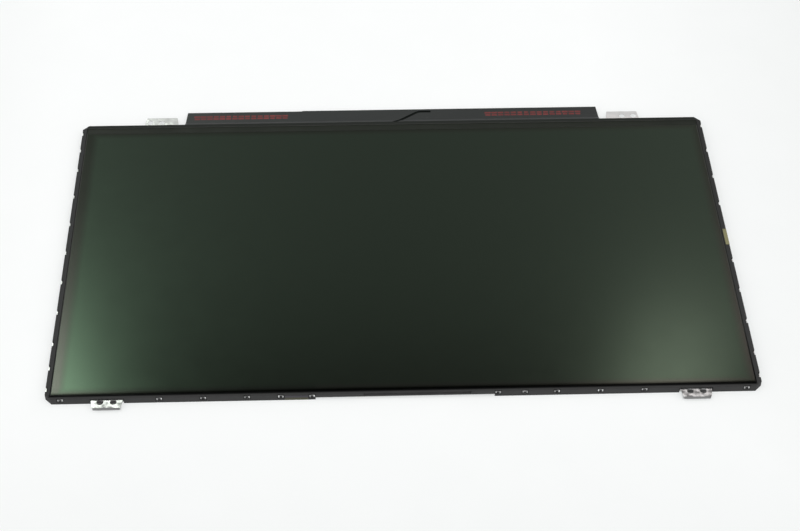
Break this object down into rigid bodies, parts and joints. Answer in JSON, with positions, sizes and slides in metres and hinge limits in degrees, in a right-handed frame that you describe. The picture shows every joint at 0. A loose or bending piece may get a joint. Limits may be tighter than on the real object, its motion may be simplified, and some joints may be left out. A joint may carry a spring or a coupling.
{
  "type": "laptop screen panel",
  "caption": "Slim notebook display module: matte screen in a black moulded frame, stamped steel back with windowed snap tabs and drilled mounting ears, and a driver board under film.",
  "frame": {"origin": "middle of the overall outline, on the plane that the back rests on", "axes": "+X along the long side, to the right for someone facing the screen with the board at the top; +Y towards the driver board; +Z out of the screen"},
  "size_m": [0.3205, 0.205, 0.0033],
  "materials": {
    "steel": "satin",
    "black_plastic": "matte",
    "screen_face": "semi-gloss",
    "glass": "clear",
    "white_film": "matte",
    "clear_film": "satin",
    "light_guide": "gloss",
    "black_tape": "matte",
    "grey_film": "satin",
    "flex_amber": "satin",
    "board_black": "satin",
    "component_grey": "matte",
    "ceramic_tan": "matte",
    "contact_gold": "polished",
    "ivory_plastic": "matte",
    "amber_tape": "gloss"
  },
  "bodies": {
    "root": {"rear_cover": "steel", "connector_shell": "steel", "mould_frame": "black_plastic", "signal_connector": "black_plastic", "timing_chip": "black_plastic", "power_chip": "black_plastic", "source_chips": "black_plastic", "front_polariser": "screen_face", "rear_polariser": "screen_face", "colour_filter_glass": "glass", "array_glass": "glass", "reflector_sheet": "white_film", "upper_diffuser": "white_film", "lower_diffuser": "white_film", "leds": "white_film", "upper_prism_sheet": "clear_film", "lower_prism_sheet": "clear_film", "light_guide_plate": "light_guide", "cell_tape": "black_tape", "ledge_tape": "black_tape", "board_tape": "black_tape", "board_cover": "grey_film", "board_flexes": "flex_amber", "led_strip": "flex_amber", "driver_board": "board_black", "inductors": "component_grey", "resistors": "component_grey", "capacitors": "ceramic_tan", "connector_contacts": "contact_gold", "led_connector": "ivory_plastic", "side_tape": "amber_tape", "near_tape": "amber_tape", "relief_tape": "amber_tape"}
  },
  "joints": []
}
